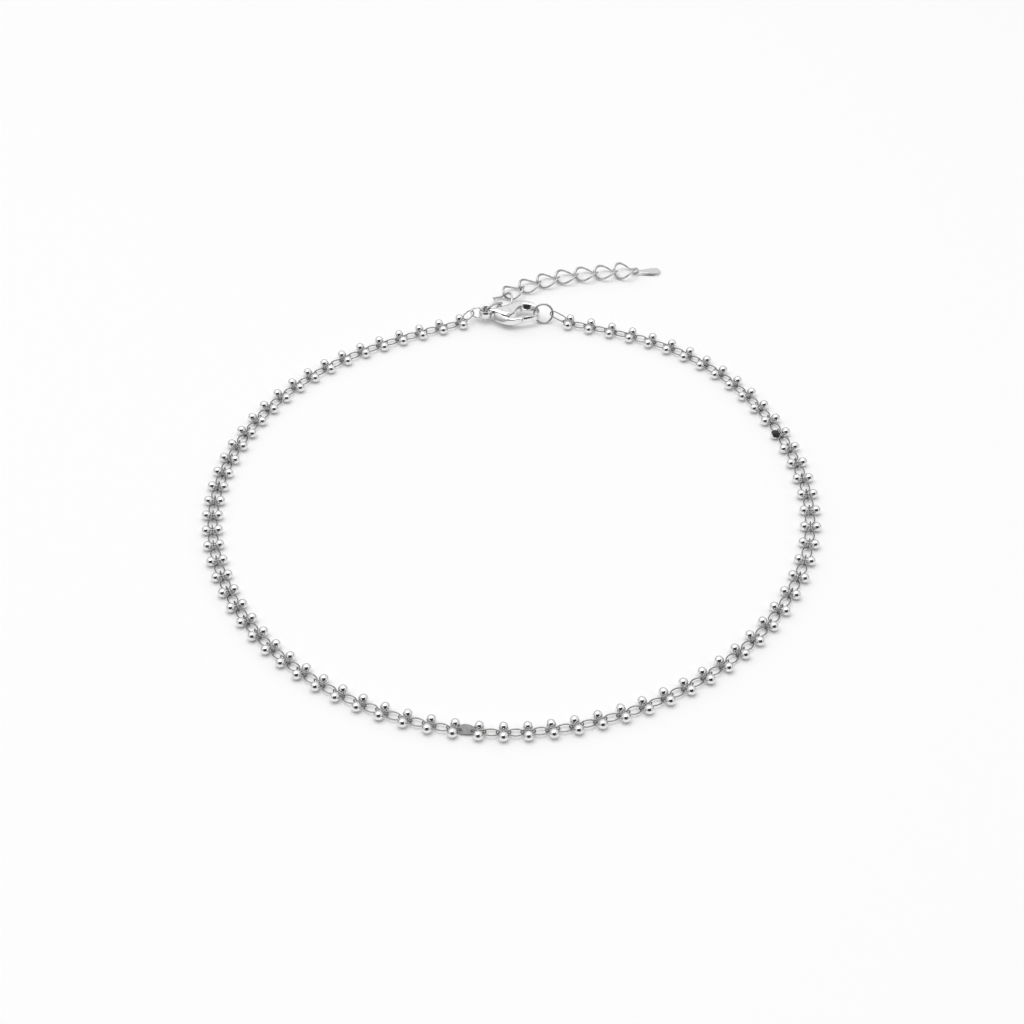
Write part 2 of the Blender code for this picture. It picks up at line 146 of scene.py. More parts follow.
# The same with only the wanted faces
def editFaces(piece, wanted):
    pick(piece)
    bpy.ops.object.mode_set(mode="EDIT")
    bpy.ops.mesh.select_mode(type="FACE")
    bpy.ops.mesh.select_all(action="DESELECT")
    shape = bmesh.from_edit_mesh(piece.data)
    for face in shape.faces:
        face.select_set(wanted(face))
    bmesh.update_edit_mesh(piece.data)


def named(name):
    piece = bpy.context.object
    piece.name = name
    piece.data.name = name
    return piece


def joined(name, pieces):
    pick(*pieces)
    if len(pieces) > 1:
        bpy.ops.object.join()
    return named(name)


def copied(piece):
    twin = piece.copy()
    twin.data = piece.data.copy()
    bpy.context.scene.collection.objects.link(twin)
    return twin


# Bakes a place into the mesh
def placed(piece, matrix):
    piece.matrix_world = matrix
    pick(piece)
    bpy.ops.object.transform_apply(location=True, rotation=True, scale=True)
    return piece


def applied(piece, kind, **settings):
    modifier = piece.modifiers.new(kind.lower(), kind)
    for key, value in settings.items():
        setattr(modifier, key, value)
    pick(piece)
    bpy.ops.object.modifier_apply(modifier=modifier.name)
    return piece


def smoothed(piece, degrees):
    pick(piece)
    bpy.ops.object.shade_smooth_by_angle(angle=math.radians(degrees))
    return piece


def subdivided(piece, levels):
    return applied(piece, "SUBSURF", levels=levels, render_levels=levels)


def fused(piece, other):
    applied(piece, "BOOLEAN", operation="UNION", solver="EXACT", material_mode="TRANSFER", object=other)
    bpy.data.objects.remove(other)
    return piece


def cutBy(piece, other):
    applied(piece, "BOOLEAN", operation="DIFFERENCE", solver="EXACT", object=other)
    bpy.data.objects.remove(other)
    return piece


# A matrix that turns x along run and y as near to across as it can
def facing(run, across, place):
    run = run.normalized()
    level = (across - run * across.dot(run)).normalized()
    matrix = Matrix((run, level, run.cross(level))).transposed().to_4x4()
    matrix.translation = place
    return matrix


def painted(piece, material):
    piece.data.materials.clear()
    piece.data.materials.append(material)
    return piece


def finished(piece, body, slot, *nodes):
    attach(piece, body)
    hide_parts(*nodes)


# Camera at the photograph's angle
camera = {
    "place": (0.01, -351.6, 309.75),
    "tiltDown": 41.378,
    "lens": 89.09,
    "sensor": 36.0,
    "nearest": 0.01,
    "furthest": 20.0,
}


def makeCamera():
    data = bpy.data.cameras.new("viewpoint")
    data.lens = camera["lens"]
    data.sensor_width = camera["sensor"]
    data.clip_start = camera["nearest"]
    data.clip_end = camera["furthest"]
    viewpoint = bpy.data.objects.new("viewpoint", data)
    bpy.context.scene.collection.objects.link(viewpoint)
    viewpoint.location = inFrame(*camera["place"])
    viewpoint.rotation_euler = (math.radians(90.0 - camera["tiltDown"]), 0.0, 0.0)
    bpy.context.scene.camera = viewpoint


makeCamera()
print("camera ready")

# Studio: a white tent with a dark opening where the photographer stands, one wide soft lamp high above,
# and white paper that glows a little. Angles are in degrees, the lamp's place and width in mm.
studio = {
    "tentWhite": 0.92,
    "openingDark": 0.04,
    "openingAngle": 40.0,
    "openingSoft": 10.0,
    "wallGrey": 0.4,
    "wallTop": 16.0,
    "wallSoft": 10.0,
    "strength": 1.0,
    "lampPlace": (-150.0, 40.0, 1300.0),
    "lampWidth": 1500.0,
    "lampPower": 8.8,
    "floorWidth": 4.0,
    "floorWhite": 0.9,
    "floorGlow": 0.06,
    "floorRoughness": 0.9,
}


def makeTent():
    world = bpy.data.worlds.new("tent")
    bpy.context.scene.world = world
    world.use_nodes = True
    nodes = world.node_tree.nodes
    links = world.node_tree.links
    background = nodes["Background"]
    direction = nodes.new("ShaderNodeTexCoord")
    tilt = math.radians(camera["tiltDown"])
    towards = nodes.new("ShaderNodeVectorMath")
    towards.operation = "DOT_PRODUCT"
    towards.inputs[1].default_value = (0.0, -math.cos(tilt), math.sin(tilt))
    links.new(direction.outputs["Generated"], towards.inputs[0])
    opening = nodes.new("ShaderNodeMapRange")
    opening.interpolation_type = "SMOOTHSTEP"
    widest = math.radians(studio["openingAngle"] + studio["openingSoft"])
    narrowest = math.radians(studio["openingAngle"] - studio["openingSoft"])
    opening.inputs["From Min"].default_value = math.cos(widest)
    opening.inputs["From Max"].default_value = math.cos(narrowest)
    opening.inputs["To Min"].default_value = 0.0
    opening.inputs["To Max"].default_value = 1.0
    links.new(towards.outputs["Value"], opening.inputs["Value"])
    split = nodes.new("ShaderNodeSeparateXYZ")
    links.new(direction.outputs["Generated"], split.inputs[0])
    wall = nodes.new("ShaderNodeMapRange")
    wall.interpolation_type = "SMOOTHSTEP"
    lowest = math.radians(studio["wallTop"] - studio["wallSoft"])
    highest = math.radians(studio["wallTop"] + studio["wallSoft"])
    wall.inputs["From Min"].default_value = math.sin(lowest)
    wall.inputs["From Max"].default_value = math.sin(highest)
    wall.inputs["To Min"].default_value = studio["wallGrey"]
    wall.inputs["To Max"].default_value = studio["tentWhite"]
    links.new(split.outputs["Z"], wall.inputs["Value"])
    shade = nodes.new("ShaderNodeMix")
    shade.data_type = "FLOAT"
    links.new(opening.outputs["Result"], shade.inputs["Factor"])
    links.new(wall.outputs["Result"], shade.inputs["A"])
    shade.inputs["B"].default_value = studio["openingDark"]
    links.new(shade.outputs["Result"], background.inputs["Color"])
    background.inputs["Strength"].default_value = studio["strength"]


def makeLamp():
    data = bpy.data.lights.new("lamp", "AREA")
    data.shape = "DISK"
    data.size = studio["lampWidth"] * mm
    data.energy = studio["lampPower"]
    lamp = bpy.data.objects.new("lamp", data)
    bpy.context.scene.collection.objects.link(lamp)
    lamp.location = inFrame(*studio["lampPlace"])
    lamp.rotation_mode = "QUATERNION"
    lamp.rotation_quaternion = (loopMiddle - lamp.location).to_track_quat("-Z", "Y")


def makeFloor():
    objectMode()
    bpy.ops.object.select_all(action="DESELECT")
    bpy.ops.mesh.primitive_plane_add(size=studio["floorWidth"], location=(0.0, 0.0, 0.0))
    floor = named("paperFloor")
    paper = bpy.data.materials.new("whitePaper")
    paper.use_nodes = True
    shader = paper.node_tree.nodes["Principled BSDF"]
    white = studio["floorWhite"]
    shader.inputs["Base Color"].default_value = (white, white, white, 1.0)
    shader.inputs["Roughness"].default_value = studio["floorRoughness"]
    shader.inputs["Specular IOR Level"].default_value = 0.0
    shader.inputs["Emission Color"].default_value = (1.0, 1.0, 1.0, 1.0)
    shader.inputs["Emission Strength"].default_value = studio["floorGlow"]
    floor.data.materials.append(paper)


makeTent()
makeLamp()
makeFloor()
bpy.context.scene.view_settings.view_transform = "Standard"
print("studio ready")

# Finishes. The wire and link finishes are darkened copies of the plating that paint the shade on thin
# wires
fineWear = {
    "cloudDetail": 3.0,
    "scratchFineness": 7.0,
    "scratchDetail": 2.0,
    "scratchBend": 1.5,
    "roughnessCloud": (0.3, 0.7),
    "shadeCloud": (0.35, 0.75),
    "scratchDepth": 0.01,
}
plating = {
    "colour": (0.86, 0.86, 0.865),
    "shadeColour": (0.74, 0.74, 0.75),
    "grain": 900.0,
    "lowRoughness": 0.05,
    "highRoughness": 0.11,
    "bump": 0.12,
}
# Flat and end links: the plating darkened to paint the shade and dark reflections on thin wires
shadedWireFinish = {
    "colour": (0.27, 0.266, 0.262),
    "shadeColour": (0.22, 0.216, 0.212),
    "grain": 1100.0,
    "lowRoughness": 0.16,
    "highRoughness": 0.26,
    "bump": 0.15,
}
# Upright links: the plating darkened further to paint the shade on the wire between the balls
shadedUprightFinish = {
    "colour": (0.28, 0.275, 0.27),
    "shadeColour": (0.22, 0.216, 0.212),
    "grain": 1100.0,
    "lowRoughness": 0.2,
    "highRoughness": 0.3,
    "bump": 0.15,
}
# Jump ring and extender links: the plating darkened to paint the shade on their thin wires
shadedLinkFinish = {
    "colour": (0.56, 0.56, 0.565),
    "shadeColour": (0.46, 0.46, 0.465),
    "grain": 900.0,
    "lowRoughness": 0.2,
    "highRoughness": 0.3,
    "bump": 0.15,
}
plateFinish = {
    "colour": (0.29, 0.29, 0.29),
    "shadeColour": (0.26, 0.26, 0.26),
    "grain": 1500.0,
    "lowRoughness": 0.55,
    "highRoughness": 0.65,
    "bump": 0.25,
}
tagFinish = {
    "colour": (0.68, 0.68, 0.69),
    "shadeColour": (0.6, 0.6, 0.61),
    "grain": 1200.0,
    "lowRoughness": 0.4,
    "highRoughness": 0.5,
    "bump": 0.3,
}
# Painted dark reflection on one ball: side is a share of the ball's distance from the chain's middle,
# lengths are in mm
darkReflection = {
    "pair": 64,
    "side": 0.84,
    "along": -0.28,
    "lift": 0.52,
    "reach": 0.98,
    "ragged": 0.6,
    "grain": 2200.0,
    "detail": 3.0,
    "edge": (0.93, 1.03),
    "colour": (0.018, 0.013, 0.012),
    "roughness": 0.55,
}


# Fine scratches and cloudiness that every metal here shares
def makeFineWear():
    group = bpy.data.node_groups.new("fineWear", "ShaderNodeTree")
    for name, kind in (("Place", "Vector"), ("Grain", "Float"), ("Low", "Float"), ("High", "Float")):
        group.interface.new_socket(name=name, in_out="INPUT", socket_type="NodeSocket" + kind)
    for name in ("Shade", "Roughness", "Height"):
        group.interface.new_socket(name=name, in_out="OUTPUT", socket_type="NodeSocketFloat")
    nodes = group.nodes
    links = group.links
    entry = nodes.new("NodeGroupInput")
    leave = nodes.new("NodeGroupOutput")
    cloud = nodes.new("ShaderNodeTexNoise")
    cloud.inputs["Detail"].default_value = fineWear["cloudDetail"]
    links.new(entry.outputs["Place"], cloud.inputs["Vector"])
    links.new(entry.outputs["Grain"], cloud.inputs["Scale"])
    finer = nodes.new("ShaderNodeMath")
    finer.operation = "MULTIPLY"
    finer.inputs[1].default_value = fineWear["scratchFineness"]
    links.new(entry.outputs["Grain"], finer.inputs[0])
    scratches = nodes.new("ShaderNodeTexNoise")
    scratches.inputs["Detail"].default_value = fineWear["scratchDetail"]
    scratches.inputs["Distortion"].default_value = fineWear["scratchBend"]
    links.new(entry.outputs["Place"], scratches.inputs["Vector"])
    links.new(finer.outputs[0], scratches.inputs["Scale"])
    rough = nodes.new("ShaderNodeMapRange")
    lowest, highest = fineWear["roughnessCloud"]
    rough.inputs["From Min"].default_value = lowest
    rough.inputs["From Max"].default_value = highest
    links.new(cloud.outputs["Fac"], rough.inputs["Value"])
    links.new(entry.outputs["Low"], rough.inputs["To Min"])
    links.new(entry.outputs["High"], rough.inputs["To Max"])
    shade = nodes.new("ShaderNodeMapRange")
    lowest, highest = fineWear["shadeCloud"]
    shade.inputs["From Min"].default_value = lowest
    shade.inputs["From Max"].default_value = highest
    links.new(cloud.outputs["Fac"], shade.inputs["Value"])
    links.new(shade.outputs["Result"], leave.inputs["Shade"])
    links.new(rough.outputs["Result"], leave.inputs["Roughness"])
    links.new(scratches.outputs["Fac"], leave.inputs["Height"])
    return group


def metalFinish(name, finish, wear):
    material = bpy.data.materials.new(name)
    material.use_nodes = True
    nodes = material.node_tree.nodes
    links = material.node_tree.links
    shader = nodes["Principled BSDF"]
    shader.inputs["Metallic"].default_value = 1.0
    place = nodes.new("ShaderNodeTexCoord")
    worn = nodes.new("ShaderNodeGroup")
    worn.node_tree = wear
    worn.name = "worn"
    links.new(place.outputs["Object"], worn.inputs["Place"])
    worn.inputs["Grain"].default_value = finish["grain"]
    worn.inputs["Low"].default_value = finish["lowRoughness"]
    worn.inputs["High"].default_value = finish["highRoughness"]
    tone = nodes.new("ShaderNodeMix")
    tone.data_type = "RGBA"
    tone.name = "tone"
    tone.inputs["A"].default_value = (*finish["colour"], 1.0)
    tone.inputs["B"].default_value = (*finish["shadeColour"], 1.0)
    links.new(worn.outputs["Shade"], tone.inputs["Factor"])
    links.new(tone.outputs["Result"], shader.inputs["Base Color"])
    links.new(worn.outputs["Roughness"], shader.inputs["Roughness"])
    bump = nodes.new("ShaderNodeBump")
    bump.inputs["Strength"].default_value = finish["bump"]
    bump.inputs["Distance"].default_value = fineWear["scratchDepth"] * mm
    links.new(worn.outputs["Height"], bump.inputs["Height"])
    links.new(bump.outputs["Normal"], shader.inputs["Normal"])
    return material


wear = makeFineWear()
brightSilver = metalFinish("brightSilver", plating, wear)
# Darkened copies of the plating that paint shade on the wires follow
shadedWireSilver = metalFinish("shadedWireSilver", shadedWireFinish, wear)
shadedUprightWire = metalFinish("shadedUprightWire", shadedUprightFinish, wear)
# Plating darkened to paint shade on the jump ring and extender links
shadedLinkSilver = metalFinish("shadedLinkSilver", shadedLinkFinish, wear)
greyPlate = metalFinish("greyPlate", plateFinish, wear)
satinSilver = metalFinish("satinSilver", tagFinish, wear)
print("finishes ready")

# Beaded chain, in mm and degrees. The route is seen from above: the pair's number, and its place from
# the loop's middle.
chain = {
    "route": [
        (0, -10.2, 57.0),
        (5, -29.6, 47.6),
        (10, -44.7, 33.2),
        (15, -53.3, 14.3),
        (20, -54.8, -6.0),
        (25, -48.7, -26.1),
        (30, -36.2, -42.5),
        (34, -22.0, -52.0),
        (39, -1.4, -56.8),
        (43, 14.9, -54.0),
        (48, 33.4, -43.5),
        (52, 45.0, -30.7),
        (57, 54.0, -9.6),
        (62, 53.7, 13.1),
        (67, 45.7, 33.7),
        (72, 31.3, 48.8),
        (77, 11.5, 56.9),
    ],
    "platePair": 37,
    "ballWidth": 1.8,
    "ballGap": 0.49,
    "solderWidth": 0.3,
    "wire": 0.24,
    "uprightLength": 2.7,
    "uprightHeight": 1.04,
    "uprightDrop": 0.12,
    "flatLength": 2.94,
    "flatWidth": 1.95,
    "flatDrop": 0.26,
    "furthestHook": 0.88,
    "endReach": 0.85,
    "turn": 3.0,
    "roll": 7.0,
    "headingStep": 0.05,
    "ballSides": 20,
    "ballRings": 12,
    "solderSides": 12,
    "linkSteps": 18,
    "wireSides": 8,
    "seed": 12,
}
linkPlay = random.Random(chain["seed"])


# A natural cubic curve through numbered points
def smoothRoute(numbers, points):
    numbers = np.array(numbers, float)
    points = np.array(points, float)
    steps = np.diff(numbers)
    count = len(numbers)
    system = np.eye(count)
    right = np.zeros_like(points)
    for row in range(1, count - 1):
        before, after = steps[row - 1], steps[row]
        system[row, row - 1:row + 2] = before, 2 * (before + after), after
        slopeAfter = (points[row + 1] - points[row]) / after
        slopeBefore = (points[row] - points[row - 1]) / before
        right[row] = 6 * (slopeAfter - slopeBefore)
    bends = np.linalg.solve(system, right)

    def at(number):
        row = int(np.clip(np.searchsorted(numbers, number, side="right") - 1, 0, count - 2))
        step = steps[row]
        a = (numbers[row + 1] - number) / step
        b = 1 - a
        cubic = ((a**3 - a) * bends[row] + (b**3 - b) * bends[row + 1]) * step**2 / 6
        return a * points[row] + b * points[row + 1] + cubic

    return at


# The place and heading of each ball pair
def pairPlaces():
    route = smoothRoute([row[0] for row in chain["route"]], [row[1:] for row in chain["route"]])
    last = chain["route"][-1][0]
    places = []
    for number in range(last + 1):
        low = route(max(number - chain["headingStep"], 0))
        high = route(min(number + chain["headingStep"], last))
        heading = Vector((*(high - low), 0.0)).normalized()
        x, y = route(number)
        places.append((inFrame(x, y, chain["ballWidth"] / 2), heading))
    return places


# Lengthens an oval link along X, most at its ends
def drawnOut(link, amount):
    for point in link.data.vertices:
        point.co.x += amount * point.co.x / math.hypot(point.co.x, point.co.y)
    return link


# A wire link, flat in XY, its length along X. Unless it is oval, its long sides are straight.
def wireLink(name, length, width, wire, oval=False):
    objectMode()
    bpy.ops.object.select_all(action="DESELECT")
    bpy.ops.mesh.primitive_torus_add(
        major_segments=chain["linkSteps"], minor_segments=chain["wireSides"],
        major_radius=(width - wire) / 2 * mm, minor_radius=wire / 2 * mm,
        location=(0.0, 0.0, 0.0),
    )
    link = named(name)
    stretch = (length - width) / 2 * mm
    if oval:
        return drawnOut(link, stretch)
    for end in (-1, 1):
        editPoints(link, lambda point: point.x * end > 0)
        bpy.ops.transform.translate(value=(end * stretch, 0.0, 0.0))
    objectMode()
    return link


# Two balls soldered together through an upright link, heading along X
def ballStation():
    spread = (chain["ballWidth"] + chain["ballGap"]) / 2
    balls = []
    for side in (-1, 1):
        objectMode()
        bpy.ops.object.select_all(action="DESELECT")
        bpy.ops.mesh.primitive_uv_sphere_add(
            segments=chain["ballSides"], ring_count=chain["ballRings"], radius=chain["ballWidth"] / 2 * mm,
            location=(0.0, side * spread * mm, 0.0), rotation=(math.pi / 2, 0.0, 0.0),
        )
        balls.append(painted(named("ball"), brightSilver))
    for ball in balls:
        placed(ball, ball.matrix_world.copy())
    bpy.ops.object.select_all(action="DESELECT")
    bpy.ops.mesh.primitive_cylinder_add(
        vertices=chain["solderSides"], radius=chain["solderWidth"] / 2 * mm, depth=spread * mm,
        location=(0.0, 0.0, 0.0), rotation=(math.pi / 2, 0.0, 0.0),
    )
    solder = painted(named("solder"), brightSilver)
    placed(solder, solder.matrix_world.copy())
    link = wireLink("uprightLink", chain["uprightLength"], chain["uprightHeight"], chain["wire"])
    # The upright link's dark finish is painted shade
    painted(link, shadedUprightWire)
    drop = Matrix.Translation((0.0, 0.0, -chain["uprightDrop"] * mm))
    placed(link, drop @ Matrix.Rotation(math.pi / 2, 4, "X"))
    station = fused(balls[0], solder)
    station = fused(station, balls[1])
    station = fused(station, link)
    station.name = "station"
    return station


# A copy of the flat link, lengthened where the next pair is further away
def flatLinkBetween(link, start, end):
    span = (end - start).length / mm
    length = max(chain["flatLength"], span - 2 * chain["furthestHook"] + chain["wire"])
    twin = drawnOut(copied(link), (length - chain["flatLength"]) / 2 * mm)
    run = end - start
    across = upward.cross(run)
    matrix = facing(run, across, (start + end) / 2 - upward * chain["flatDrop"] * mm)
    roll = Matrix.Rotation(math.radians(linkPlay.uniform(-chain["roll"], chain["roll"])), 4, "X")
    twin.matrix_world = matrix @ roll
    return twin


# From the last pair's link to its ring, lying flat
def endLink(lastPlace, hook, hookWire):
    aim = (hook - lastPlace).normalized()
    near = lastPlace + aim * (chain["endReach"] - chain["wire"] / 2) * mm
    far = hook + aim * (hookWire / 2 + rings["clearance"] + chain["wire"]) * mm
    length = (far - near).length / mm
    link = painted(wireLink("endLink", length, chain["flatWidth"], chain["wire"]), shadedWireSilver)
    link.matrix_world = facing(aim, upward.cross(aim), (near + far) / 2)
    return link


def chainHalf(name, numbers, places, station, flatLink, terminal):
    pieces = [terminal]
    for number in numbers:
        place, heading = places[number]
        turn = math.radians(linkPlay.uniform(-chain["turn"], chain["turn"]))
        twin = copied(station)
        across = upward.cross(heading)
        twin.matrix_world = facing(heading, across, place) @ Matrix.Rotation(turn, 4, "Z")
        pieces.append(twin)
        if number + 1 in numbers:
            pieces.append(flatLinkBetween(flatLink, place, places[number + 1][0]))
    half = joined(name, pieces)
    placed(half, half.matrix_world.copy())
    return smoothed(half, shading["built"])


# Rings, in mm and degrees
rings = {
    "smallWidth": 2.9,
    "smallWire": 0.42,
    "jumpPlace": (6.35, 58.5),
    "jumpWidth": 4.2,
    "jumpWire": 0.45,
    "jumpLean": 60.0,
    "clearance": 0.12,
    "steps": 40,
    "wireSides": 14,
}


def roundRing(name, width, wire):
    objectMode()
    bpy.ops.object.select_all(action="DESELECT")
    bpy.ops.mesh.primitive_torus_add(
        major_segments=rings["steps"], minor_segments=rings["wireSides"],
        major_radius=(width - wire) / 2 * mm, minor_radius=wire / 2 * mm,
        location=(0.0, 0.0, 0.0),
    )
    return named(name)


# The ring's middle, and the point of its wire that the chain's end link holds
def smallRingPlace():
    radius = (rings["smallWidth"] - rings["smallWire"]) / 2
    holeEdge = clasp["middle"][0] + clasp["eye"][0] - clasp["eyeHole"] / 2
    x = holeEdge + rings["smallWire"] / 2 + rings["clearance"] - radius
    middle = inFrame(x, clasp["middle"][1] + clasp["eye"][1], clasp["middle"][2])
    return middle, middle - Vector((radius * mm, 0.0, 0.0))


# The same for the jump ring, which leans back with its lowest point on the surface
def jumpRingPlace():
    radius = (rings["jumpWidth"] - rings["jumpWire"]) / 2
    lean = math.radians(rings["jumpLean"])
    height = radius * math.sin(lean) + rings["jumpWire"] / 2
    middle = inFrame(*rings["jumpPlace"], height)
    return middle, middle + Vector((radius * mm, 0.0, 0.0))


smallMiddle, smallHook = smallRingPlace()
jumpMiddle, jumpHook = jumpRingPlace()
smallRing = roundRing("smallRing", rings["smallWidth"], rings["smallWire"])
placed(smallRing, Matrix.Translation(smallMiddle) @ Matrix.Rotation(math.pi / 2, 4, "X"))
smoothed(smallRing, shading["ring"])
finished(painted(smallRing, brightSilver), "necklace", "bright_silver", "clasp_ring")
jumpRing = roundRing("roundJumpRing", rings["jumpWidth"], rings["jumpWire"])
jumpTurn = Matrix.Rotation(math.radians(rings["jumpLean"]), 4, "X")
placed(jumpRing, Matrix.Translation(jumpMiddle) @ jumpTurn)
smoothed(jumpRing, shading["ring"])
finished(painted(jumpRing, shadedLinkSilver), "necklace", "bright_silver", "jump_ring")
print("rings ready")


def makeChain():
    places = pairPlaces()
    station = ballStation()
    flatLink = wireLink("flatLink", chain["flatLength"], chain["flatWidth"], chain["wire"], oval=True)
    painted(flatLink, shadedWireSilver)
    before = chain["platePair"]
    leftEnd = endLink(places[0][0], smallHook, rings["smallWire"])
    left = chainHalf(
        "beadedChainLeft", range(before + 1), places, station, flatLink, leftEnd
    )
    rightEnd = endLink(places[-1][0], jumpHook, rings["jumpWire"])
    right = chainHalf(
        "beadedChainRight", range(before + 1, len(places)), places, station, flatLink, rightEnd
    )
    bpy.data.objects.remove(station)
    bpy.data.objects.remove(flatLink)
    return places, left, right


# The bright finish with one painted dark reflection on one ball
def darkReflectionSilver(places):
    material = metalFinish("darkReflectionSilver", plating, wear)
    nodes = material.node_tree.nodes
    links = material.node_tree.links
    shader = nodes["Principled BSDF"]
    place, heading = places[darkReflection["pair"]]
    spread = (chain["ballWidth"] + chain["ballGap"]) / 2 * mm
    across = upward.cross(heading)
    lift = Vector((0.0, 0.0, darkReflection["lift"] * mm))
    spot = place + across * darkReflection["side"] * spread + heading * darkReflection["along"] * mm + lift
    where = nodes.new("ShaderNodeTexCoord")
    ragged = nodes.new("ShaderNodeTexNoise")
    ragged.inputs["Scale"].default_value = darkReflection["grain"]
    ragged.inputs["Detail"].default_value = darkReflection["detail"]
    links.new(where.outputs["Object"], ragged.inputs["Vector"])
    away = nodes.new("ShaderNodeVectorMath")
    away.operation = "DISTANCE"
    away.inputs[1].default_value = spot
    links.new(where.outputs["Object"], away.inputs[0])
    push = nodes.new("ShaderNodeMath")
    push.operation = "MULTIPLY_ADD"
    push.inputs[1].default_value = darkReflection["ragged"] * mm
    links.new(ragged.outputs["Fac"], push.inputs[0])
    links.new(away.outputs["Value"], push.inputs[2])
    mask = nodes.new("ShaderNodeMapRange")
    edge = (darkReflection["reach"] + darkReflection["ragged"] / 2) * mm
    inside, outside = darkReflection["edge"]
    mask.inputs["From Min"].default_value = edge * inside
    mask.inputs["From Max"].default_value = edge * outside
    mask.inputs["To Min"].default_value = 1.0
    mask.inputs["To Max"].default_value = 0.0
    links.new(push.outputs[0], mask.inputs["Value"])
    colour = nodes.new("ShaderNodeMix")
    colour.data_type = "RGBA"
    links.new(mask.outputs["Result"], colour.inputs["Factor"])
    links.new(nodes["tone"].outputs["Result"], colour.inputs["A"])
    colour.inputs["B"].default_value = (*darkReflection["colour"], 1.0)
    links.new(colour.outputs["Result"], shader.inputs["Base Color"])
    dull = nodes.new("ShaderNodeMix")
    dull.data_type = "FLOAT"
    links.new(mask.outputs["Result"], dull.inputs["Factor"])
    links.new(nodes["worn"].outputs["Roughness"], dull.inputs["A"])
    dull.inputs["B"].default_value = darkReflection["roughness"]
    links.new(dull.outputs["Result"], shader.inputs["Roughness"])
    bare = nodes.new("ShaderNodeMath")
    bare.operation = "SUBTRACT"
    bare.inputs[0].default_value = 1.0
    links.new(mask.outputs["Result"], bare.inputs[1])
    links.new(bare.outputs[0], shader.inputs["Metallic"])
    return material


pairs, chainLeft, chainRight = makeChain()
finished(chainLeft, "necklace", "bright_silver", "beaded_chain_left")
# The right half's balls take the finish with the painted dark reflection
ballSilver = chainRight.data.materials.find("brightSilver")
chainRight.data.materials[ballSilver] = darkReflectionSilver(pairs)
finished(chainRight, "necklace", "bright_silver", "beaded_chain_right")
print("chain ready")

# Grey leaf-shaped plate that fills one link at the front, in mm and degrees
leaf = {
    "length": 4.1,
    "width": 1.98,
    "thickness": 0.2,
    "inward": 0.28,
    "drop": 0.26,
    "roll": 20.0,
    "rim": 0.16,
    "dome": 0.03,
    "crease": 0.75,
    "levels": 3,
    # shares of half the length along the chain and of half the width towards the loop's middle
    "outline": [
        (-0.84, 0.06),
        (-0.56, 0.76),
        (-0.06, 1.0),
        (0.4, 0.82),
        (0.8, 0.36),
        (0.98, -0.06),
        (0.62, -0.8),
        (0.16, -0.96),
        (-0.34, -0.96),
        (-0.6, -0.84),
    ],
}


# An outline in mm becomes a closed slab centred on XY
def flatShape(name, outline, thickness):
    objectMode()
    bpy.ops.object.select_all(action="DESELECT")
    bpy.ops.mesh.primitive_circle_add(
        vertices=len(outline), radius=mm, fill_type="NGON", location=(0.0, 0.0, -thickness / 2 * mm)
    )
    slab = named(name)
    placed(slab, slab.matrix_world.copy())
    for point, (u, v) in zip(slab.data.vertices, outline):
        point.co.x = u * mm
        point.co.y = v * mm
    editFaces(slab, lambda face: True)
    bpy.ops.mesh.extrude_region_move(
        TRANSFORM_OT_translate={"value": (0.0, 0.0, thickness * mm)}
    )
    bpy.ops.mesh.select_all(action="SELECT")
    bpy.ops.mesh.normals_make_consistent(inside=False)
    objectMode()
    return slab


# Holds the chosen edges sharp under subdivision
def creased(piece, amount, wanted):
    editPoints(piece, lambda point: False)
    bpy.ops.mesh.select_mode(type="EDGE")
    shape = bmesh.from_edit_mesh(piece.data)
    for edge in shape.edges:
        edge.select_set(wanted(edge))
    bmesh.update_edit_mesh(piece.data)
    bpy.ops.transform.edge_crease(value=amount)
    objectMode()


def topFace(face):
    return face.normal.z > 0.9 and len(face.verts) > 4


def levelEdge(edge):
    return abs(edge.verts[0].co.z - edge.verts[1].co.z) < 1e-7


def makeLeaf():
    outline = [(u * leaf["length"] / 2, v * leaf["width"] / 2) for u, v in leaf["outline"]]
    plate = flatShape("leafPlate", outline, leaf["thickness"])
    creased(plate, leaf["crease"], levelEdge)
    editFaces(plate, topFace)
    bpy.ops.mesh.inset(thickness=leaf["rim"] * mm, depth=0.0)
    bpy.ops.mesh.inset(thickness=2 * leaf["rim"] * mm, depth=leaf["dome"] * mm)
    subdivided(plate, leaf["levels"])
    start = pairs[chain["platePair"]][0]
    end = pairs[chain["platePair"] + 1][0]
    run = end - start
    shift = upward.cross(run).normalized() * leaf["inward"] - upward * leaf["drop"]
    roll = Matrix.Rotation(math.radians(leaf["roll"]), 4, "X")
    placed(plate, facing(run, upward.cross(run), (start + end) / 2 + shift * mm) @ roll)
    return smoothed(plate, shading["rounded"])


leafPlate = makeLeaf()
finished(painted(leafPlate, greyPlate), "necklace", "plate_grey", "plate_link")
print("plate ready")


# Clasp and lever are grown section by section
# A section's rounded corners, in mm from the clasp's middle
def sectionPoints(piece, number, thickness):
    outerU, outerV, innerU, innerV = piece["sections"][number]
    outer = Vector((outerU, outerV, 0.0))
    inner = Vector((innerU, innerV, 0.0))
    middle = (outer + inner) / 2
    across = (outer - inner).normalized()
    halfWidth = (outer - inner).length / 2
    edge = (piece["edgeRadius"], piece["edgeRadius"])
    points = []
    for side, top in ((1, 1), (-1, 1), (-1, -1), (1, -1)):
        wide, tall = edge
        if top > 0:
            wide, tall = piece["outerDomes"][number] if side > 0 else piece["innerDomes"][number]
        wide = min(wide, halfWidth * 0.9)
        tall = min(tall, thickness - edge[1])
        corner = middle + across * side * (halfWidth - wide) + upward * top * (thickness / 2 - tall)
        turns = (0.0, 45.0, 90.0) if side * top > 0 else (90.0, 45.0, 0.0)
        for turn in turns:
            angle = math.radians(turn)
            point = corner + across * side * wide * math.cos(angle)
            point += upward * top * tall * math.sin(angle)
            points.append(point - across * piece["leans"][number] * point.z / thickness)
    return [point * mm for point in points]


